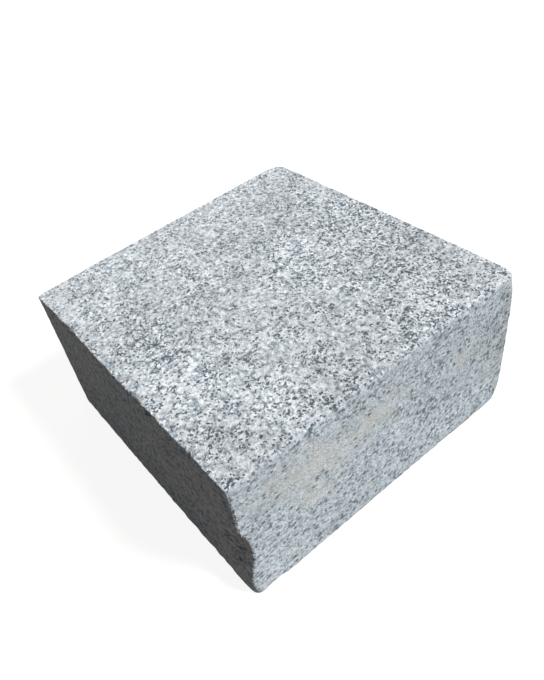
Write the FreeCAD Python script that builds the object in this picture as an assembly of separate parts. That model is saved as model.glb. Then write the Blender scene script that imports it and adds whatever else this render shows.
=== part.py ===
"""Granite paving sett: one block of sawn granite with a flamed top, for laying as paving.

The frame: +Z is up, from the bed face to the flamed top. X runs along the length and Y along the width.
The origin is the middle of the bed face, on which the sett lies.
Seen from above, the front side faces -Y, the right side +X, the back side +Y and the left side -X.
The upright corners are named as they stand when the sett is seen corner on, from its front left:
front (-X -Y), right (+X -Y), back (+X +Y) and left (-X +Y).
"""

import FreeCAD
import Part

import math
import os

from FreeCAD import Vector

# Nominal block, mm. The proudest stretch of each side lies on the nominal size.
LENGTH = 200.0
WIDTH = 200.0
HEIGHT = 100.0

# Radius in plan of the upright corners, mm: sawn square, then worn unevenly in handling
FRONT_CORNER_RADIUS = 1.7
RIGHT_CORNER_RADIUS = 2.2
BACK_CORNER_RADIUS = 6.5
LEFT_CORNER_RADIUS = 2.5

# How much more the radius of the right corner has worn at the top and at the bed, mm,
# and how far down from the top and up from the bed this extra wear has faded away
RIGHT_TOP_WEAR = 6.5
RIGHT_BED_WEAR = 2.0
RIGHT_WEAR_FADE = 30.0

# Radius of the worn arris round the top and round the bed, mm
TOP_ARRIS_RADIUS = 1.3
BED_ARRIS_RADIUS = 1.5

# How far the middle of each side stands proud (+) or lies hollow (-) of its ends, mm
FRONT_BOW = -0.4
RIGHT_BOW = -0.5
BACK_BOW = 0.9
LEFT_BOW = 0.5

# Long shallow waves across every side, mm, and how far they shift over a millimetre of height
WAVE_DEPTH = 0.35
WAVE_LENGTH = 110.0
WAVE_SLANT = 0.5

# Conchoidal spall knocked off the front upright corner, mm
SPALL_CENTRE_HEIGHT = 42.0
SPALL_HALF_HEIGHT = 19.0
SPALL_REACH_ON_FRONT = 5.0
SPALL_REACH_ON_LEFT = 12.0
SPALL_FLATNESS = 0.15

# Spall at the foot of the right upright corner, mm
FOOT_SPALL_REACH_UP = 12.0
FOOT_SPALL_REACH_ON_FRONT = 6.0
FOOT_SPALL_REACH_ON_RIGHT = 6.5
FOOT_SPALL_FLATNESS = 1.0

# Long chip at the foot of the front upright corner, mm
FOOT_CHIP_REACH_UP = 14.0
FOOT_CHIP_REACH_ACROSS = 3.6

# Nicks in the front and left top arrises, mm: how far each lies from the corner where its side starts,
# and its half length
NICK_DEPTH = 1.6
NICK_WIDTH = 2.6
NICK_FLATNESS = 0.8
FRONT_NICKS = {158.0: 9.0, 62.0: 4.0}
LEFT_NICKS = {47.0: 5.0, 120.0: 8.0, 171.0: 4.0}

# How finely the sides are sampled: points along each side, and plan sections up the block
STATIONS = 9
SECTIONS = 5

UP = Vector(0, 0, 1)


class Corner:
    """An upright corner, rounded in plan, and rounded more towards the top and the bed if worn there."""

    def __init__(self, before, after, radius, top_wear=0.0, bed_wear=0.0):
        self.point = after.start - after.outward * after.setback - before.outward * before.setback
        self.before = before
        self.after = after
        self.radius = radius
        self.top_wear = top_wear
        self.bed_wear = bed_wear

    def radius_at(self, height):
        top_share = max(0.0, 1.0 - (HEIGHT - height) / RIGHT_WEAR_FADE)
        bed_share = max(0.0, 1.0 - height / RIGHT_WEAR_FADE)
        return self.radius + self.top_wear * top_share ** 2 + self.bed_wear * bed_share ** 2

    def first(self, height):
        """Where the rounding starts at one height, on the side before the corner."""
        return self.point + UP * height - self.before.along * self.radius_at(height)

    def last(self, height):
        """Where the rounding ends at one height, on the side after the corner."""
        return self.point + UP * height + self.after.along * self.radius_at(height)

    def arc(self, height):
        """The quarter round in plan at one height."""
        radius = self.radius_at(height)
        centre = self.point + UP * height + (self.after.along - self.before.along) * radius
        bisector = (self.before.outward + self.after.outward).normalize()
        return Part.Arc(self.first(height), centre + bisector * radius, self.last(height)).toShape()


class Side:
    """A side of the block, from one upright corner to the next, anticlockwise seen from above."""

    def __init__(self, start, end, bow):
        self.start = start
        self.along = (end - start).normalize()
        self.outward = self.along.cross(UP)
        self.bow = bow

    @property
    def setback(self):
        """How far the ends lie inside the nominal plane, so that the proudest stretch just meets it."""
        return max(self.bow, 0.0)

    def relief(self, distance, span, height):
        """How far the worked face stands outside the plane of its ends, at a distance along its span."""
        share = distance / span
        fade = math.sin(math.pi * share) ** 2
        angle = 2.0 * math.pi * (distance + WAVE_SLANT * height) / WAVE_LENGTH
        return fade * (self.bow - 0.5 * WAVE_DEPTH * (1.0 + math.sin(angle)))


def make_sides():
    """The four sides on the nominal planes, the front one first."""
    x, y = 0.5 * LENGTH, 0.5 * WIDTH
    front, right = Vector(-x, -y, 0), Vector(x, -y, 0)
    back, left = Vector(x, y, 0), Vector(-x, y, 0)
    return [
        Side(front, right, FRONT_BOW),
        Side(right, back, RIGHT_BOW),
        Side(back, left, BACK_BOW),
        Side(left, front, LEFT_BOW),
    ]


def make_corners(sides):
    """The upright corners, each where its side starts, at the crossing of the planes of the sides' ends."""
    front, right, back, left = sides
    return [
        Corner(left, front, FRONT_CORNER_RADIUS),
        Corner(front, right, RIGHT_CORNER_RADIUS, RIGHT_TOP_WEAR, RIGHT_BED_WEAR),
        Corner(right, back, BACK_CORNER_RADIUS),
        Corner(back, left, LEFT_CORNER_RADIUS),
    ]


def side_edge(corner, following, height):
    """The worked line of a side at one height, tangent to the roundings at both of its ends."""
    side = corner.after
    first = corner.last(height)
    span = (following.first(height) - first).Length
    points = []
    for i in range(STATIONS):
        distance = span * i / (STATIONS - 1)
        points.append(first + side.along * distance + side.outward * side.relief(distance, span, height))
    curve = Part.BSplineCurve()
    curve.interpolate(Points=points, InitialTangent=side.along, FinalTangent=side.along)
    return curve.toShape()


def plan_section(corners, height):
    """The closed outline of the block at one height above the bed."""
    edges = []
    for corner, following in zip(corners, corners[1:] + corners[:1]):
        edges.append(corner.arc(height))
        edges.append(side_edge(corner, following, height))
    return Part.Wire(edges)


def sawn_block(corners):
    """The block before its arrises wear, lofted through its plan sections from the bed to the top."""
    heights = [HEIGHT * i / (SECTIONS - 1) for i in range(SECTIONS)]
    return Part.makeLoft([plan_section(corners, height) for height in heights], True, False)


def edges_at(block, height):
    """The edges that lie wholly at one height, such as the outline of the bed or of the top."""
    def level(edge):
        box = edge.BoundBox
        return abs(box.ZMin - height) < 0.01 and abs(box.ZMax - height) < 0.01
    return [edge for edge in block.Edges if level(edge)]


def wear_arrises(block, corners):
    """Rounds the arris round the top and round the bed, by less than the tightest corner there."""
    for height, radius in ((HEIGHT, TOP_ARRIS_RADIUS), (0.0, BED_ARRIS_RADIUS)):
        tightest = min(corner.radius_at(height) for corner in corners)
        block = block.makeFillet(min(radius, 0.9 * tightest), edges_at(block, height))
    return block


def scar(point, inward, reaches, flatness):
    """The ellipsoid that a spall leaves behind, centred outside the stone.

    It cuts each arris or face that meets at the point where it lies a reach away from it. inward has
    the direction into the stone on each axis, or 0 on the axis of the arris that the spall lies along.
    Flatness 0 is a deep scoop centred on the point, and a larger one is nearer to a flat chip.
    """
    crossed = sum(1 for way in inward if way)
    size = math.sqrt((1.0 + flatness) ** 2 + (crossed - 1) * flatness ** 2)
    along = 1.0 / math.sqrt(1.0 - crossed * flatness ** 2 / size ** 2)
    scale = FreeCAD.Matrix()
    scale.scale(Vector(*[reach * (size if way else along) for way, reach in zip(inward, reaches)]))
    tool = Part.makeSphere(1.0).transformGeometry(scale)
    tool.translate(point - Vector(*[way * reach * flatness for way, reach in zip(inward, reaches)]))
    return tool


def front_spall(corner):
    return scar(
        corner.point + UP * SPALL_CENTRE_HEIGHT,
        (1, 1, 0),
        (SPALL_REACH_ON_FRONT, SPALL_REACH_ON_LEFT, SPALL_HALF_HEIGHT),
        SPALL_FLATNESS,
    )


def foot_spall(corner):
    return scar(
        corner.point,
        (-1, 1, 1),
        (FOOT_SPALL_REACH_ON_FRONT, FOOT_SPALL_REACH_ON_RIGHT, FOOT_SPALL_REACH_UP),
        FOOT_SPALL_FLATNESS,
    )


def foot_chip(corner):
    reaches = (FOOT_CHIP_REACH_ACROSS, FOOT_CHIP_REACH_ACROSS, FOOT_CHIP_REACH_UP)
    return scar(corner.point, (1, 1, 1), reaches, FOOT_SPALL_FLATNESS)


def arris_nicks(corner, nicks):
    """The nicks in the top arris of the side that starts at this corner."""
    side = corner.after
    tools = []
    for distance, half_length in nicks.items():
        place = corner.point + side.along * distance + UP * HEIGHT
        inward = [-round(side.outward.x), -round(side.outward.y), -1]
        across = [abs(side.outward.x), abs(side.outward.y)]
        reaches = [NICK_WIDTH * share + half_length * (1 - share) for share in across]
        tools.append(scar(place, inward, reaches + [NICK_DEPTH], NICK_FLATNESS))
    return tools


def make_sett():
    corners = make_corners(make_sides())
    block = wear_arrises(sawn_block(corners), corners)
    front, right, back, left = corners
    nicks = arris_nicks(front, FRONT_NICKS) + arris_nicks(left, LEFT_NICKS)
    return block.cut([front_spall(front), foot_chip(front), foot_spall(right)] + nicks)


def main():
    sett = make_sett()
    solid = sett.Solids[0]
    box = solid.optimalBoundingBox(True, False)
    print("solids", len(sett.Solids), "valid", solid.isValid(), "faces", len(solid.Faces))
    print("box", [round(v, 3) for v in (box.XMin, box.XMax, box.YMin, box.YMax, box.ZMin, box.ZMax)])
    print("volume in litres", round(solid.Volume / 1e6, 4))
    os.makedirs("parts", exist_ok=True)
    solid.exportStep("parts/sett.step")


main()
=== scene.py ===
"""Granite paving sett, seen corner on from above: a light grey block with a flamed top and sawn sides."""
import math

import bmesh
import bpy
import numpy as np
from mathutils import Euler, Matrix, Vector


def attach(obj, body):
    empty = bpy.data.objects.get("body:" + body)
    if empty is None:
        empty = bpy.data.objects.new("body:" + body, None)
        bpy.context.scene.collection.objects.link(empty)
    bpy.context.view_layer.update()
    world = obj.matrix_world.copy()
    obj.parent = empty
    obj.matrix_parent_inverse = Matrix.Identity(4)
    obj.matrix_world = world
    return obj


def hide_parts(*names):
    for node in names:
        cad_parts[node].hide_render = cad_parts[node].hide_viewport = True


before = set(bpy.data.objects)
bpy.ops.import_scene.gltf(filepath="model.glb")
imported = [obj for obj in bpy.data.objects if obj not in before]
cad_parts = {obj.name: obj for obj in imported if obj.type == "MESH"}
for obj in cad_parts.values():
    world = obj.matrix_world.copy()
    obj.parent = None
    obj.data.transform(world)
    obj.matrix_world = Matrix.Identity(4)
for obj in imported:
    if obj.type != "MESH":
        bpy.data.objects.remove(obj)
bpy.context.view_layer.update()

MM = 0.001

# The block, mm, in the frame of the solid: the bed at z 0, the front side at -y, the left side at -x.
# Its upright corners are called front (-x -y), right (+x -y), back (+x +y) and left (-x +y).
LENGTH = 200.0
WIDTH = 200.0
HEIGHT = 100.0

# How far the middle of each side stands out of (+) or lies behind (-) the line of its ends, mm
FRONT_BOW = -0.4
RIGHT_BOW = -0.5
BACK_BOW = 0.9
LEFT_BOW = 0.5

# Where the sides are divided so that they can bow, mm from their middle
STATIONS = [-75.0, -50.0, -25.0, 0.0, 25.0, 50.0, 75.0]

# Radius in plan of the upright corners, mm; the right one is its radius where handling wore it least
FRONT_RADIUS = 1.5
RIGHT_RADIUS = 2.2
BACK_RADIUS = 8.0
LEFT_RADIUS = 2.5
CORNER_SEGMENTS = 6

# How much more the right corner is worn at the top and at the bed, and over what height this fades, mm
RIGHT_TOP_WEAR = 7.0
RIGHT_BED_WEAR = 2.0
RIGHT_WEAR_FADE = 28.0

# The heights below the top where the radius of the right corner is set, mm
WEAR_LEVELS = [0.0, 7.0, 14.0, 21.0, 28.0, 72.0, 79.0, 86.0, 93.0]

# How near to a plane a point has to lie to count as on it, mm
NEAR = 0.01

# Spalls and chips as ellipsoids: centre, half axes and depth of the ripples in them, mm
FRONT_SPALL = ((-112.0, -101.5, 43.0), (17.4, 30.0, 30.5), 1.6)
RIGHT_FOOT_SPALL = ((106.0, -106.5, -12.0), (14.2, 15.2, 28.5), 1.2)
FRONT_FOOT_CHIP = ((-103.6, -103.6, -14.0), (8.8, 8.8, 34.3), 0.8)
BED_CHIP = ((-85.0, -103.0, -2.0), (10.5, 6.3, 5.5), 0.8)

# How often a scar's ball is subdivided, and the size of its ripples as a share of its longest half axis
SCAR_FINENESS = 5
RIPPLE_SHARE = 0.6

# Nicks in the top arris: the side, how far along it from its start going round anticlockwise, half length
NICKS = [
    ("front", 158.0, 9.0),
    ("front", 62.0, 4.0),
    ("left", 47.0, 5.0),
    ("left", 120.0, 8.0),
    ("left", 171.0, 4.0),
]

# The ellipsoid of a nick: how far out from the side and up from the top its centre lies, its half width
# and half height and the depth of its ripples, mm, and how much longer it is than the nick it leaves
NICK_OUT = 2.0
NICK_UP = 1.3
NICK_HALF_WIDTH = 5.0
NICK_HALF_HEIGHT = 3.1
NICK_RIPPLE = 0.8
NICK_STRETCH = 1.2

# Spacing of the points on the worked surface before it is thinned out, mm, and the share of faces kept
SURFACE_STEP = 1.0
KEPT_SHARE = 0.58

# In how many steps a vertex group fades
WEIGHT_STEPS = 20

# How often the surface is smoothed along the arrises and where handling wore it round
ARRIS_SMOOTHING = 1
WORN_SMOOTHING = 60

# Relief in the order it is laid on: where, the kind of pattern, its size and depth in mm, its settings
RELIEF = [
    ("top", "CLOUDS", 26.0, 0.35, dict(noise_depth=1)),
    ("top", "CLOUDS", 3.4, 0.9, dict(noise_depth=2)),
    ("top", "VORONOI", 2.6, 0.5, dict(distance_metric="DISTANCE")),
    ("sides", "CLOUDS", 45.0, 0.3, dict(noise_depth=1)),
    ("sides", "CLOUDS", 6.0, 0.45, dict(noise_depth=1)),
    ("sides", "CLOUDS", 2.6, 0.2, dict(noise_depth=0)),
    ("chipped_arris", "CLOUDS", 2.4, 1.1, dict(noise_depth=2)),
    ("chipped_arris", "CLOUDS", 7.0, 1.3, dict(noise_depth=0)),
    ("bed_arris", "CLOUDS", 10.0, 0.5, dict(noise_depth=1)),
    ("bed_arris", "CLOUDS", 3.2, 0.5, dict(noise_depth=1)),
]

# The level of a pattern that leaves the surface where it is: more of it is cut in than stands proud
RELIEF_LEVEL = 0.6

# How far the low edges of the top drop at the most, mm
EDGE_DROP = 1.0

# How far inside the nominal planes the worked faces stay, mm
TRIM_MARGIN = 0.06

# The camera: its place in m, its turn in degrees, its lens in mm, and the shift of its picture
CAMERA_PLACE = (-0.16021, -0.24740, 0.32975)
CAMERA_TURN = (46.687, 9.497, -37.427)
CAMERA_LENS = 33.96
CAMERA_SENSOR = 36.0
CAMERA_SHIFT = (0.0589, 0.0036)

# The lamps: the direction each shines from, its power, and its spread in degrees or its size in m
KEY_DIRECTION = (0.36, -0.57, 0.735)
KEY_POWER = 3.93
KEY_SPREAD = 14.0
SOFTBOX_DIRECTION = (0.6, 0.8, 0.4)
SOFTBOX_POWER = 6.0
SOFTBOX_SIZE = 1.2
LAMP_DISTANCE = 2.0

# The room's own light, warm and dim, and the backdrop: its size in m, how it glows and looks to the
# camera, and the colour of the light that it throws back at the sett
ROOM_COLOUR = (1.0, 0.85, 0.81, 1.0)
ROOM_STRENGTH = 0.118
WHITE = (1.0, 1.0, 1.0, 1.0)
FLOOR_SIZE = 12.0
PAPER_GLOW = 0.9
PAPER_SEEN = "#8A8987"
PAPER_THROWN_BACK = "#625A54"

# Sizes in the stone, mm: its crystals, the stretches of one mineral, the wandering of the crystals'
# borders and how far that reaches, the mica flakes on the top and the clusters of them
GRAIN = 1.5
MINERAL = 2.6
BORDER = 1.4
BORDER_REACH = 1.8
MICA = 1.0
CLUSTER = 8.0

# The dark flecks on the sides and the swarms of them, the ragged rims of stains and of the painted shade, and
# clouds of tone, mm
FLECK = 2.6
SWARM = 9.0
RAGGED_RIM = 9.0
CLOUD = 40.0

# Pits and crystal faces on the surface, mm. Real ones are some tenths of a millimetre across, less than
# a pixel of the render, so they are drawn as coarse as they need to show.
TOOTH = 0.8

# The stone is weakly layered along its bed, so its flecks are half as long again that way as up and down
LAYERING = (0.76, 0.76, 1.12)

# The minerals from grey quartz to white feldspar, each with its level in the pattern that mixes them
MINERALS = [
    (0.34, "#727B84"),
    (0.43, "#A8B3BC"),
    (0.50, "#D2DBE0"),
    (0.56, "#E8EEF2"),
    (0.66, "#F4F8FA"),
]

MICA_COLOUR = "#5C656D"
DUST_COLOUR = "#CCDDE8"
DUST_SHARE = 0.40
SOIL_COLOUR = "#D0D3CD"
# The colour of the painted shade on the right corner
PAINTED_SHADE_COLOUR = "#979896"
FLECK_COLOUR = "#57636E"

# Patches on the stone: the middle and half sizes of each in mm, and its turn about the Y axis in degrees.
# First the stretches of the top with more mica and with less.
RICH_MICA = [
    ((80.0, -6.0, 100.0), (78.0, 60.0, 60.0), 0.0),
    ((52.0, -80.0, 100.0), (62.0, 50.0, 60.0), 0.0),
    ((-70.0, 8.0, 100.0), (26.0, 36.0, 30.0), 0.0),
]
POOR_MICA = [
    ((-74.0, 96.0, 100.0), (84.0, 56.0, 60.0), 0.0),
    ((30.0, 92.0, 100.0), (110.0, 62.0, 60.0), 0.0),
    ((-24.0, -24.0, 100.0), (30.0, 62.0, 40.0), 0.0),
]

# Clumps of flecks on the front side, and the crowd of them low on the left side
CLUMPS = [
    ((-46.0, -100.0, 60.0), (12.0, 10.0, 7.0), -30.0),
    ((9.0, -100.0, 57.0), (9.0, 10.0, 10.0), 0.0),
    ((28.0, -100.0, 45.0), (12.0, 10.0, 7.0), 0.0),
    ((-58.0, -100.0, 28.0), (8.0, 10.0, 8.0), 0.0),
]
LEFT_CROWD = [((-100.0, 0.0, 36.0), (30.0, 120.0, 80.0), 0.0)]

# Dried soil: the large patch on the front side in three parts, two spots beside it, and a patch each on
# the back and right sides
SOIL = [
    ((-51.0, -100.0, 71.0), (56.0, 30.0, 28.0), 12.0),
    ((-9.0, -100.0, 72.0), (38.0, 30.0, 19.0), 0.0),
    ((-52.0, -100.0, 50.0), (22.0, 30.0, 14.0), 25.0),
    ((23.0, -100.0, 70.0), (5.0, 20.0, 4.0), 0.0),
    ((58.0, -100.0, 63.0), (14.0, 20.0, 10.0), 0.0),
    ((30.0, 100.0, 40.0), (48.0, 30.0, 24.0), -15.0),
    ((100.0, 40.0, 60.0), (30.0, 50.0, 22.0), 10.0),
]

# Painted shade on the right corner: a patch over its height and one near its top
RIGHT_CORNER_PAINTED_SHADE = [
    ((100.0, -100.0, 50.0), (32.0, 50.0, 48.0), 0.0),
    ((99.0, -99.0, 88.0), (20.0, 20.0, 28.0), 0.0),
]

# Painted shade on a stretch of the front side towards the right, and painted light low at its left end
PAINTED_SHADE_STRETCH = [((44.0, -100.0, 72.0), (60.0, 30.0, 42.0), 0.0)]
PAINTED_LIGHT_STRETCH = [((-86.0, -100.0, 22.0), (34.0, 30.0, 36.0), 0.0)]

# How much patches add to the share of mica, to the share of flecks and to the painted light and shade of a
# side
MICA_SHIFTS = [(RICH_MICA, 0.14), (POOR_MICA, -0.06)]
FLECK_SHIFTS = [(CLUMPS, 1.2), (LEFT_CROWD, 0.45)]
PAINTED_LIGHT_AND_SHADE_SHIFTS = [(PAINTED_SHADE_STRETCH, -0.09), (PAINTED_LIGHT_STRETCH, 0.10)]

# What soil adds to the share of flecks, which it covers
SOIL_SHIFT = -1.15

# Inputs and an output that a Map Range and a colour Mix know by number
FROM_LOW = 1
FROM_HIGH = 2
TO_LOW = 3
TO_HIGH = 4
SHARE = 0
UNDER = 6
OVER = 7
MIXED = 2


def select_only(piece):
    """Selects this object alone and makes it active."""
    bpy.ops.object.select_all(action="DESELECT")
    piece.select_set(True)
    bpy.context.view_layer.objects.active = piece


def pick(piece, parts, test):
    """In edit mode, selects the vertices or edges all of whose points pass the test of their place in mm."""
    shape = bmesh.from_edit_mesh(piece.data)
    bpy.ops.mesh.select_all(action="DESELECT")
    for part in getattr(shape, parts):
        points = [part] if parts == "verts" else part.verts
        if all(test(point.co / MM) for point in points):
            part.select_set(True)
    bmesh.update_edit_mesh(piece.data)


def finish_with(piece, kind, **settings):
    """Adds a modifier to a piece and applies it."""
    select_only(piece)
    modifier = piece.modifiers.new(kind.title(), kind)
    for name, value in settings.items():
        setattr(modifier, name, value)
    bpy.ops.object.modifier_apply(modifier=modifier.name)


def stone_noise(name, kind, size, **settings):
    """A cloud or cell pattern for roughening a surface, its size in mm."""
    pattern = bpy.data.textures.new(name, kind)
    pattern.noise_scale = size * MM
    for setting, value in settings.items():
        setattr(pattern, setting, value)
    return pattern


def round_corners(block, low, high):
    """Rounds the upright corners, the right one as wide as it is at the top."""
    corners = [
        (low[0], low[1], FRONT_RADIUS),
        (high[0], low[1], RIGHT_RADIUS + RIGHT_TOP_WEAR),
        (high[0], high[1], BACK_RADIUS),
        (low[0], high[1], LEFT_RADIUS),
    ]
    for x, y, radius in corners:
        pick(block, "edges", lambda p: abs(p.x - x) < NEAR and abs(p.y - y) < NEAR)
        bpy.ops.mesh.bevel(offset=radius * MM, segments=CORNER_SEGMENTS, affect="EDGES")


def sharpen_right_corner(block, low, high):
    """Draws the rounding of the right corner in towards its square corner where it is worn less."""
    widest = RIGHT_RADIUS + RIGHT_TOP_WEAR
    reach = widest + NEAR
    for level in WEAR_LEVELS[1:]:
        bpy.ops.mesh.select_all(action="SELECT")
        bpy.ops.mesh.bisect(plane_co=(0.0, 0.0, level * MM), plane_no=(0, 0, 1))
    for level in WEAR_LEVELS:
        top_share = max(0.0, 1.0 - (HEIGHT - level) / RIGHT_WEAR_FADE)
        bed_share = max(0.0, 1.0 - level / RIGHT_WEAR_FADE)
        radius = RIGHT_RADIUS + RIGHT_TOP_WEAR * top_share ** 2 + RIGHT_BED_WEAR * bed_share ** 2
        share = radius / widest
        pick(block, "verts", lambda p: (
            abs(p.z - level) < NEAR and high[0] - p.x < reach and p.y - low[1] < reach))
        bpy.ops.transform.resize(
            value=(share, share, 1.0), center_override=(high[0] * MM, low[1] * MM, level * MM))


def bow_sides(block, low, high):
    """Divides the sides across and moves each division out or in."""
    for station in STATIONS:
        for normal in ((1, 0, 0), (0, 1, 0)):
            bpy.ops.mesh.select_all(action="SELECT")
            bpy.ops.mesh.bisect(plane_co=Vector(normal) * station * MM, plane_no=normal)
    sides = [
        (1, low[1], -FRONT_BOW),
        (0, high[0], RIGHT_BOW),
        (1, high[1], BACK_BOW),
        (0, low[0], -LEFT_BOW),
    ]
    for axis, plane, bow in sides:
        along = 1 - axis
        for station in STATIONS:
            pick(block, "verts", lambda p: abs(p[axis] - plane) < NEAR and abs(p[along] - station) < NEAR)
            shift = [0.0, 0.0, 0.0]
            shift[axis] = bow * math.cos(math.pi * station / LENGTH) ** 2 * MM
            bpy.ops.transform.translate(value=shift)


def sawn_block():
    """The block with bowed sides and rounded upright corners."""
    low = (-LENGTH / 2 + max(LEFT_BOW, 0.0), -WIDTH / 2 + max(FRONT_BOW, 0.0))
    high = (LENGTH / 2 - max(RIGHT_BOW, 0.0), WIDTH / 2 - max(BACK_BOW, 0.0))
    size = (high[0] - low[0], high[1] - low[1], HEIGHT)
    middle = ((low[0] + high[0]) / 2, (low[1] + high[1]) / 2, HEIGHT / 2)
    bpy.ops.mesh.primitive_cube_add(size=1.0, location=Vector(middle) * MM, scale=Vector(size) * MM)
    block = bpy.context.object
    block.name = "sett_stone"
    select_only(block)
    bpy.ops.object.transform_apply(location=True, rotation=True, scale=True)
    bpy.ops.object.mode_set(mode="EDIT")
    round_corners(block, low, high)
    sharpen_right_corner(block, low, high)
    bow_sides(block, low, high)
    bpy.ops.object.mode_set(mode="OBJECT")
    return block


def cut_away(block, name, centre, half_axes, ripple_depth):
    """Cuts a scar out of the block: an ellipsoid with an uneven, shell-like surface."""
    bpy.ops.object.select_all(action="DESELECT")
    bpy.ops.mesh.primitive_ico_sphere_add(
        subdivisions=SCAR_FINENESS, radius=1.0, location=Vector(centre) * MM, scale=Vector(half_axes) * MM)
    tool = bpy.context.object
    tool.name = name
    select_only(tool)
    bpy.ops.object.transform_apply(location=True, rotation=True, scale=True)
    ripple = stone_noise(name + "_ripple", "CLOUDS", RIPPLE_SHARE * max(half_axes), noise_depth=2)
    finish_with(tool, "DISPLACE", texture=ripple, texture_coords="LOCAL", strength=ripple_depth * MM)
    finish_with(block, "BOOLEAN", operation="DIFFERENCE", object=tool, solver="EXACT")
    bpy.data.objects.remove(tool)


def nick_places():
    """Where the nicks lie, as the centres and half axes of ellipsoids along the top arris."""
    # Where each nicked side starts, which way it runs and which way it faces
    sides = {
        "front": ((-1, -1), (1, 0), (0, -1)),
        "left": ((-1, 1), (0, -1), (-1, 0)),
    }
    for side, distance, half_length in NICKS:
        start, along, outward = [Vector(values) for values in sides[side]]
        place = start * LENGTH / 2 + along * distance + outward * NICK_OUT
        length_share = [abs(part) for part in along]
        width_share = [abs(part) for part in outward]
        half_axes = [
            NICK_STRETCH * half_length * a + NICK_HALF_WIDTH * o for a, o in zip(length_share, width_share)]
        yield (place.x, place.y, HEIGHT + NICK_UP), (*half_axes, NICK_HALF_HEIGHT)


def cut_scars(block):
    """Every spall, chip and nick."""
    cut_away(block, "front_spall", *FRONT_SPALL)
    cut_away(block, "right_foot_spall", *RIGHT_FOOT_SPALL)
    cut_away(block, "front_foot_chip", *FRONT_FOOT_CHIP)
    cut_away(block, "bed_chip", *BED_CHIP)
    for number, (centre, half_axes) in enumerate(nick_places()):
        cut_away(block, "nick_%d" % number, centre, half_axes, NICK_RIPPLE)


def weigh(piece, name, shares):
    """Gives a piece a vertex group from an array of shares, in steps."""
    group = piece.vertex_groups.new(name=name)
    steps = np.rint(np.clip(shares, 0.0, 1.0) * WEIGHT_STEPS).astype(int)
    for step in range(1, WEIGHT_STEPS + 1):
        members = np.nonzero(steps == step)[0]
        group.add(members.tolist(), step / WEIGHT_STEPS, "REPLACE")


def rise(values, low, high):
    """0 below low and 1 above high, easing between them."""
    share = np.clip((values - low) / (high - low), 0.0, 1.0)
    return share * share * (3.0 - 2.0 * share)


def fall(values, low, high):
    """1 below low and 0 above high, easing between them."""
    return 1.0 - rise(values, low, high)


def surface_places(block):
    """The points of the surface as arrays of x, y and z, mm."""
    points = np.empty(len(block.data.vertices) * 3, dtype=np.float32)
    block.data.vertices.foreach_get("co", points)
    return points.reshape(-1, 3).T / MM


def mark_regions(block):
    """Vertex groups for how far wear and relief reach at each point. All lengths are in mm."""
    x, y, z = surface_places(block)
    edge = np.minimum(LENGTH / 2 - np.abs(x), WIDTH / 2 - np.abs(y))

    # The flamed top, which keeps clear of its arris, and the sides below it
    top = rise(z, HEIGHT - 1.6, HEIGHT - 0.6)
    weigh(block, "top", top * rise(edge, 0.5, 3.0))
    weigh(block, "sides", 1.0 - top)

    # The arrises round the top and round the bed; the bed's is rougher along the left side
    near_top = rise(z, HEIGHT - 5.0, HEIGHT - 1.0) * fall(edge, 1.5, 5.0)
    near_bed = fall(z, 1.0, 4.0) * fall(edge, 1.5, 4.0)
    weigh(block, "arrises", np.maximum(near_top, near_bed))
    weigh(block, "bed_arris", near_bed * (1.0 - 0.7 * rise(x, -98.0, -90.0)))

    # Chipped arrises: the left side's top arris and the upper front corner, and the rest of them less
    left_arris = near_top * fall(x, -96.0, -90.0)
    front_corner = fall(np.hypot(x + LENGTH / 2, y + WIDTH / 2), 2.0, 6.0)
    front_corner *= 0.3 + 0.7 * rise(z, 64.0, 74.0)
    weigh(block, "chipped_arris", np.maximum.reduce([left_arris, 0.25 * near_top, front_corner]))

    # Worn round: the feet of the right and front corners, and slightly the top arris of the right side
    right_foot = fall(np.sqrt((x - LENGTH / 2) ** 2 + (y + WIDTH / 2) ** 2 + z ** 2), 4.0, 18.0)
    front_foot = fall(np.sqrt((x + LENGTH / 2) ** 2 + (y + WIDTH / 2) ** 2 + z ** 2), 5.0, 15.0)
    right_arris = rise(z, HEIGHT - 8.0, HEIGHT - 2.0) * rise(x, 84.0, 96.0) * fall(edge, 2.0, 8.0)
    weigh(block, "worn_round", np.maximum.reduce([0.5 * right_foot, 0.35 * front_foot, 0.1 * right_arris]))

    # Where the top lies lower: along its back edge, and at its left and right corners
    far_edges = rise(y, 72.0, 90.0) + rise(np.abs(x - y), 155.0, 190.0)
    weigh(block, "low_edges", 0.5 * top * far_edges)


def lay_relief(block):
    """Wears the marked arrises and feet, roughens the surfaces and lowers the low edges of the top."""
    finish_with(block, "SMOOTH", factor=0.5, iterations=ARRIS_SMOOTHING, vertex_group="arrises")
    finish_with(block, "SMOOTH", factor=0.5, iterations=WORN_SMOOTHING, vertex_group="worn_round")
    for number, (region, kind, size, depth, settings) in enumerate(RELIEF):
        pattern = stone_noise("%s_relief_%d" % (region, number), kind, size, **settings)
        finish_with(
            block, "DISPLACE", texture=pattern, texture_coords="LOCAL", vertex_group=region,
            mid_level=RELIEF_LEVEL, strength=depth * MM)
    finish_with(
        block, "DISPLACE", direction="Z", vertex_group="low_edges", mid_level=0.0, strength=-EDGE_DROP * MM)


def trim_to_size(block):
    """Flattens what stands proud of the nominal planes back onto them."""
    bpy.ops.object.mode_set(mode="EDIT")
    planes = [
        (0, 1, LENGTH / 2),
        (0, -1, LENGTH / 2),
        (1, 1, WIDTH / 2),
        (1, -1, WIDTH / 2),
        (2, 1, HEIGHT),
        (2, -1, 0.0),
    ]
    for axis, way, distance in planes:
        limit = distance - TRIM_MARGIN
        pick(block, "verts", lambda p: way * p[axis] > limit)
        flat = [1.0, 1.0, 1.0]
        flat[axis] = 0.0
        centre = [0.0, 0.0, 0.0]
        centre[axis] = way * limit * MM
        bpy.ops.transform.resize(value=flat, center_override=centre)
    bpy.ops.object.mode_set(mode="OBJECT")


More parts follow.
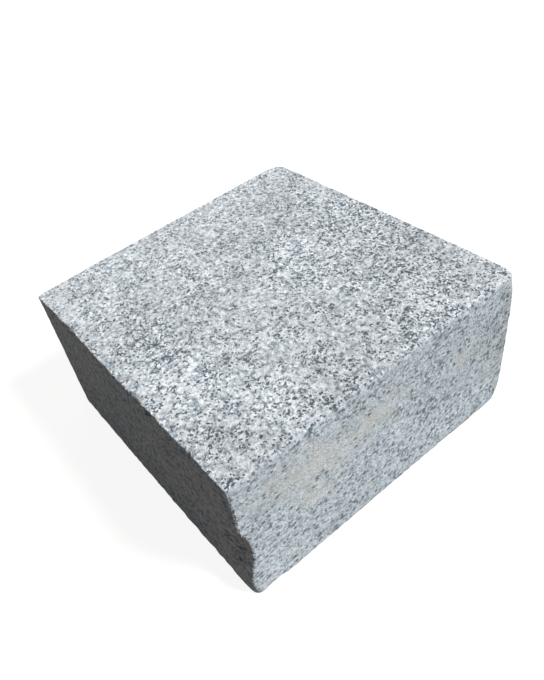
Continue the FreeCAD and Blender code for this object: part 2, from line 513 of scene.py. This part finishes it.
def make_sett():
    """The whole sett as one closed mesh."""
    block = sawn_block()
    cut_scars(block)
    finish_with(block, "REMESH", mode="VOXEL", voxel_size=SURFACE_STEP * MM)
    mark_regions(block)
    lay_relief(block)
    finish_with(block, "DECIMATE", ratio=KEPT_SHARE)
    trim_to_size(block)
    block.vertex_groups.clear()
    select_only(block)
    bpy.ops.object.shade_smooth()
    return block


def linear(colour):
    """An sRGB hex colour as the linear values that a socket takes."""
    parts = [int(colour[i:i + 2], 16) / 255.0 for i in (1, 3, 5)]
    return (*[p / 12.92 if p <= 0.04045 else ((p + 0.055) / 1.055) ** 2.4 for p in parts], 1.0)


def add_node(tree, kind, inputs=None, **settings):
    """Adds a node with its settings; an input is a plain value or the socket that feeds it."""
    node = tree.nodes.new(kind)
    for name, value in settings.items():
        setattr(node, name, value)
    for name, value in (inputs or {}).items():
        if isinstance(value, bpy.types.NodeSocket):
            tree.links.new(value, node.inputs[name])
        else:
            node.inputs[name].default_value = value
    return node


def per_mm(size):
    """The scale that makes a pattern repeat about every so many mm on coordinates in metres."""
    return 1.0 / (size * MM)


def covered_by(tree, place, patches):
    """How far inside the nearest of some patches a point lies: 1 at its middle, 0 outside all of them."""
    covered = 0.0
    for centre, half_size, turn in patches:
        spot = add_node(tree, "ShaderNodeMapping", {
            "Vector": place,
            "Location": Vector(centre) * MM,
            "Rotation": (0.0, math.radians(turn), 0.0),
            "Scale": Vector(half_size) * MM,
        }, vector_type="TEXTURE")
        ball = add_node(tree, "ShaderNodeTexGradient", {0: spot.outputs[0]}, gradient_type="SPHERICAL")
        either = add_node(tree, "ShaderNodeMath", {0: covered, 1: ball.outputs[1]}, operation="MAXIMUM")
        covered = either.outputs[0]
    return covered


def shifted(tree, place, value, shifts):
    """A value that is raised or lowered where patches lie."""
    for patches, amount in shifts:
        covered = covered_by(tree, place, patches)
        total = add_node(tree, "ShaderNodeMath", {0: covered, 1: amount, 2: value}, operation="MULTIPLY_ADD")
        value = total.outputs[0]
    return value


def uneven_place(tree, place):
    """Coordinates that are stirred a little, so that the borders of the crystals wander."""
    stir = add_node(tree, "ShaderNodeTexNoise", {"Vector": place, "Scale": per_mm(BORDER), "Detail": 2.0})
    offset = add_node(tree, "ShaderNodeVectorMath", {0: stir.outputs["Color"], 1: (0.5, 0.5, 0.5)},
                      operation="SUBTRACT")
    reach = add_node(tree, "ShaderNodeVectorMath", {0: offset.outputs[0], "Scale": BORDER_REACH * MM},
                     operation="SCALE")
    return add_node(tree, "ShaderNodeVectorMath", {0: place, 1: reach.outputs[0]}).outputs[0]


def quartz_and_feldspar(tree, growth, crystals):
    """The pale minerals, each crystal in a shade of its own."""
    minerals = add_node(tree, "ShaderNodeValToRGB", {0: growth})
    ramp = minerals.color_ramp
    for level, colour in MINERALS[1:-1]:
        ramp.elements.new(level)
    for element, (level, colour) in zip(ramp.elements, MINERALS):
        element.position = level
        element.color = linear(colour)
    crystal = add_node(tree, "ShaderNodeSeparateColor", {0: crystals.outputs["Color"]})
    shade = add_node(tree, "ShaderNodeMapRange", {0: crystal.outputs[0], TO_LOW: 0.76, TO_HIGH: 1.10})
    stone = add_node(tree, "ShaderNodeVectorMath", {0: minerals.outputs[0], "Scale": shade.outputs[0]},
                     operation="SCALE")
    return stone.outputs[0]


def with_mica(tree, place, uneven, stone):
    """The stone with black mica flakes in it, which gather in clusters."""
    clusters = add_node(tree, "ShaderNodeTexNoise", {
        "Vector": place, "Scale": per_mm(CLUSTER), "Detail": 4.0})
    share = add_node(tree, "ShaderNodeMapRange", {
        0: clusters.outputs[0], FROM_LOW: 0.38, FROM_HIGH: 0.66, TO_LOW: 0.02, TO_HIGH: 0.30})
    share = shifted(tree, place, share.outputs[0], MICA_SHIFTS)
    flakes = add_node(tree, "ShaderNodeTexVoronoi", {"Vector": uneven, "Scale": per_mm(MICA)})
    flake = add_node(tree, "ShaderNodeSeparateColor", {0: flakes.outputs["Color"]})
    mica = add_node(tree, "ShaderNodeMath", {0: flake.outputs[0], 1: share}, operation="LESS_THAN")
    stone = add_node(tree, "ShaderNodeMix", {SHARE: mica.outputs[0], UNDER: stone, OVER: linear(MICA_COLOUR)},
                     data_type="RGBA")
    return stone.outputs[MIXED]


def clouded(tree, place, stone):
    """The stone with soft clouds of a paler and a greyer tone."""
    clouds = add_node(tree, "ShaderNodeTexNoise", {"Vector": place, "Scale": per_mm(CLOUD), "Detail": 4.0})
    tone = add_node(tree, "ShaderNodeMapRange", {
        0: clouds.outputs[0], FROM_LOW: 0.32, FROM_HIGH: 0.68, TO_LOW: 0.84, TO_HIGH: 1.10})
    stone = add_node(tree, "ShaderNodeVectorMath", {0: stone, "Scale": tone.outputs[0]}, operation="SCALE")
    return stone.outputs[0]


def flamed_share(tree, uneven, facing_up):
    """1 on the flamed top and 0 below it, with an uneven border at the arris."""
    height = add_node(tree, "ShaderNodeSeparateXYZ", {0: uneven})
    high = add_node(tree, "ShaderNodeMapRange", {
        0: height.outputs[2], FROM_LOW: (HEIGHT - 1.9) * MM, FROM_HIGH: (HEIGHT - 1.5) * MM})
    level = add_node(tree, "ShaderNodeMapRange", {0: facing_up, FROM_LOW: 0.70, FROM_HIGH: 0.84})
    flamed = add_node(tree, "ShaderNodeMath", {0: high.outputs[0], 1: level.outputs[0]}, operation="MULTIPLY")
    return flamed.outputs[0]


def soil_and_painted_shade_shares(tree, place):
    """How much dried soil lies on the sides and how much painted shade lies on the right corner, both with
    ragged rims.
    """
    ragged = add_node(tree, "ShaderNodeTexNoise", {
        "Vector": place, "Scale": per_mm(RAGGED_RIM), "Detail": 6.0, "Roughness": 0.7}).outputs[0]
    soil = add_node(tree, "ShaderNodeMath", {0: ragged, 1: 3.0, 2: covered_by(tree, place, SOIL)},
                    operation="MULTIPLY_ADD")
    soil = add_node(tree, "ShaderNodeMapRange", {
        0: soil.outputs[0], FROM_LOW: 1.70, FROM_HIGH: 2.40, TO_HIGH: 0.62})
    # Painted shade on the right corner, with the same ragged rim as the soil
    corner_shade = add_node(tree, "ShaderNodeMath", {0: ragged, 1: 1.8, 2: covered_by(tree, place, RIGHT_CORNER_PAINTED_SHADE)},
                     operation="MULTIPLY_ADD")
    corner_shade = add_node(tree, "ShaderNodeMapRange", {
        0: corner_shade.outputs[0], FROM_LOW: 0.95, FROM_HIGH: 1.75, TO_HIGH: 0.46})
    return soil.outputs[0], corner_shade.outputs[0]


def fleck_share(tree, place, uneven, growth, soil):
    """How dark flecks of mica make the sides: in swarms and clumps, and fewer where soil covers them."""
    swarms = add_node(tree, "ShaderNodeTexNoise", {"Vector": place, "Scale": per_mm(SWARM), "Detail": 3.0})
    crowd = add_node(tree, "ShaderNodeMapRange", {
        0: swarms.outputs[0], FROM_LOW: 0.35, FROM_HIGH: 0.65, TO_LOW: 0.15, TO_HIGH: 0.95})
    crowd = shifted(tree, place, crowd.outputs[0], FLECK_SHIFTS)
    crowd = add_node(tree, "ShaderNodeMath", {0: soil, 1: SOIL_SHIFT, 2: crowd}, operation="MULTIPLY_ADD")
    layered = add_node(tree, "ShaderNodeMapping", {"Vector": uneven, "Scale": LAYERING})
    flecks = add_node(tree, "ShaderNodeTexVoronoi", {"Vector": layered.outputs[0], "Scale": per_mm(FLECK)})
    fleck = add_node(tree, "ShaderNodeSeparateColor", {0: flecks.outputs["Color"]})
    chosen = add_node(tree, "ShaderNodeMath", {0: fleck.outputs[0], 1: crowd.outputs[0]},
                      operation="LESS_THAN")

    # A fleck is darkest at its middle, and the pattern of the pale minerals makes its border uneven
    outline = add_node(tree, "ShaderNodeMath", {0: growth, 1: 1.5, 2: flecks.outputs["Distance"]},
                       operation="MULTIPLY_ADD")
    core = add_node(tree, "ShaderNodeMapRange", {
        0: outline.outputs[0], FROM_LOW: 1.02, FROM_HIGH: 1.25, TO_LOW: 0.78, TO_HIGH: 0.0})
    dark = add_node(tree, "ShaderNodeMath", {0: core.outputs[0], 1: chosen.outputs[0]}, operation="MULTIPLY")
    return dark.outputs[0]


def side_colour(tree, place, facing_up, stone, soil, corner_shade, flecks):
    """The stone of the sides under its dust, soil stains, flecks and painted shade on the right corner, with
    painted shade on roundings that face up and painted light and shade on stretches of the front.
    """
    layers = [
        (DUST_SHARE, DUST_COLOUR),
        (soil, SOIL_COLOUR),
        # painted shade on the right corner
        (corner_shade, PAINTED_SHADE_COLOUR),
        (flecks, FLECK_COLOUR),
    ]
    side = stone
    for share, colour in layers:
        layer = add_node(tree, "ShaderNodeMix", {SHARE: share, UNDER: side, OVER: linear(colour)},
                         data_type="RGBA")
        side = layer.outputs[MIXED]
    # Painted shade: roundings that face up are made darker, by up to a quarter
    painted_shade_facing_up = add_node(tree, "ShaderNodeMapRange", {
        0: facing_up, FROM_LOW: 0.2, FROM_HIGH: 0.7, TO_LOW: 1.0, TO_HIGH: 0.74})
    # Painted shade and painted light on stretches of the front side
    tone = shifted(tree, place, painted_shade_facing_up.outputs[0], PAINTED_LIGHT_AND_SHADE_SHIFTS)
    return add_node(tree, "ShaderNodeVectorMath", {0: side, "Scale": tone}, operation="SCALE").outputs[0]


def fine_relief(tree, place, crystals, flamed):
    """Crystal faces and pits that are too fine for the mesh, deeper on the flamed top."""
    tooth = add_node(tree, "ShaderNodeTexNoise", {"Vector": place, "Scale": per_mm(TOOTH), "Detail": 3.0})
    facets = add_node(tree, "ShaderNodeMath", {0: crystals.outputs["Distance"], 1: 0.5, 2: tooth.outputs[0]},
                      operation="MULTIPLY_ADD")
    depth = add_node(tree, "ShaderNodeMapRange", {0: flamed, TO_LOW: 0.45 * MM, TO_HIGH: 0.65 * MM})
    bump = add_node(tree, "ShaderNodeBump", {
        "Strength": 0.8, "Distance": depth.outputs[0], "Height": facets.outputs[0]})
    return bump.outputs[0]


def granite_material():
    """Light grey biotite granite: interlocked white feldspar, grey quartz and black mica.

    The flamed top is clean and sharp, so its crystals stand out pale and dark. The sawn sides are
    duller, filmed with stone dust and stained beige where soil has dried on them.
    """
    material = bpy.data.materials.new("light_grey_granite_flamed_and_sawn")
    material.use_nodes = True
    tree = material.node_tree
    tree.nodes.clear()
    place = add_node(tree, "ShaderNodeTexCoord").outputs["Object"]
    normal = add_node(tree, "ShaderNodeNewGeometry").outputs["Normal"]
    facing_up = add_node(tree, "ShaderNodeSeparateXYZ", {0: normal}).outputs[2]
    uneven = uneven_place(tree, place)
    growth = add_node(tree, "ShaderNodeTexNoise", {
        "Vector": place,
        "Scale": per_mm(MINERAL),
        "Detail": 5.0,
        "Roughness": 0.75,
        "Distortion": 0.3,
    }).outputs[0]
    crystals = add_node(tree, "ShaderNodeTexVoronoi", {"Vector": uneven, "Scale": per_mm(GRAIN)})

    stone = quartz_and_feldspar(tree, growth, crystals)
    stone = with_mica(tree, place, uneven, stone)
    stone = clouded(tree, place, stone)
    # Soil stains, and painted shade on the right corner
    soil, corner_shade = soil_and_painted_shade_shares(tree, place)
    flecks = fleck_share(tree, place, uneven, growth, soil)
    side = side_colour(tree, place, facing_up, stone, soil, corner_shade, flecks)
    flamed = flamed_share(tree, uneven, facing_up)
    colour = add_node(tree, "ShaderNodeMix", {SHARE: flamed, UNDER: side, OVER: stone}, data_type="RGBA")
    shader = add_node(tree, "ShaderNodeBsdfPrincipled", {
        "Base Color": colour.outputs[MIXED],
        "Roughness": 0.72,
        "IOR": 1.54,
        "Specular IOR Level": 0.06,
        "Normal": fine_relief(tree, place, crystals, flamed),
    })
    add_node(tree, "ShaderNodeOutputMaterial", {0: shader.outputs[0]})
    return material


def looked_at(tree):
    """1 for what the camera sees, also in a reflection or through glass, and 0 for light on the sett."""
    rays = add_node(tree, "ShaderNodeLightPath")
    seen = rays.outputs["Is Camera Ray"]
    for ray in ("Is Glossy Ray", "Is Transmission Ray"):
        either = add_node(tree, "ShaderNodeMath", {0: seen, 1: rays.outputs[ray]}, operation="MAXIMUM")
        seen = either.outputs[0]
    return seen


def floor_material():
    """Matt white backdrop paper: plain white to the camera, keeping the soft shadow of the sett."""
    material = bpy.data.materials.new("matt_white_backdrop_paper")
    material.use_nodes = True
    tree = material.node_tree
    tree.nodes.clear()
    glow = add_node(tree, "ShaderNodeEmission", {"Color": WHITE, "Strength": PAPER_GLOW})
    paper = add_node(tree, "ShaderNodeBsdfDiffuse", {"Color": linear(PAPER_SEEN)})
    bright = add_node(tree, "ShaderNodeAddShader", {0: glow.outputs[0], 1: paper.outputs[0]})
    dull = add_node(tree, "ShaderNodeBsdfDiffuse", {"Color": linear(PAPER_THROWN_BACK)})
    both = add_node(tree, "ShaderNodeMixShader", {
        0: looked_at(tree), 1: dull.outputs[0], 2: bright.outputs[0]})
    add_node(tree, "ShaderNodeOutputMaterial", {0: both.outputs[0]})
    return material


def make_floor():
    """The backdrop that the sett lies on."""
    bpy.ops.object.select_all(action="DESELECT")
    bpy.ops.mesh.primitive_plane_add(size=FLOOR_SIZE, location=(0, 0, 0))
    floor = bpy.context.object
    floor.name = "backdrop_floor"
    floor.data.materials.append(floor_material())


def make_world():
    """A dim even room light, seen as plain white by the camera."""
    world = bpy.data.worlds.new("white_room")
    bpy.context.scene.world = world
    world.use_nodes = True
    tree = world.node_tree
    tree.nodes.clear()
    room = add_node(tree, "ShaderNodeBackground", {"Color": ROOM_COLOUR, "Strength": ROOM_STRENGTH})
    white = add_node(tree, "ShaderNodeBackground", {"Color": WHITE, "Strength": 1.0})
    both = add_node(tree, "ShaderNodeMixShader", {
        0: looked_at(tree), 1: room.outputs[0], 2: white.outputs[0]})
    add_node(tree, "ShaderNodeOutputWorld", {0: both.outputs[0]})


def add_lamp(name, kind, direction, power, **settings):
    """A lamp that shines towards the sett from a direction."""
    data = bpy.data.lights.new(name, kind)
    data.energy = power
    for setting, value in settings.items():
        setattr(data, setting, value)
    lamp = bpy.data.objects.new(name, data)
    bpy.context.collection.objects.link(lamp)
    towards = Vector(direction).normalized()
    lamp.location = towards * LAMP_DISTANCE + Vector((0.0, 0.0, HEIGHT / 2 * MM))
    lamp.rotation_euler = towards.to_track_quat("Z", "Y").to_euler()


def make_camera():
    """The camera high over the front corner, looking down across the block and turned a little."""
    data = bpy.data.cameras.new("camera")
    camera = bpy.data.objects.new("camera", data)
    bpy.context.collection.objects.link(camera)
    camera.location = CAMERA_PLACE
    camera.rotation_euler = Euler([math.radians(angle) for angle in CAMERA_TURN])
    data.sensor_width = CAMERA_SENSOR
    data.lens = CAMERA_LENS
    data.shift_x, data.shift_y = CAMERA_SHIFT
    bpy.context.scene.camera = camera


make_camera()
make_floor()
make_world()
add_lamp("key_light", "SUN", KEY_DIRECTION, KEY_POWER, angle=math.radians(KEY_SPREAD))
add_lamp("back_softbox", "AREA", SOFTBOX_DIRECTION, SOFTBOX_POWER, shape="SQUARE", size=SOFTBOX_SIZE)

sett = make_sett()
sett.data.materials.clear()
sett.data.materials.append(granite_material())
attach(sett, "root")
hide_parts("sett")

view = bpy.context.scene.view_settings
view.view_transform = "Standard"
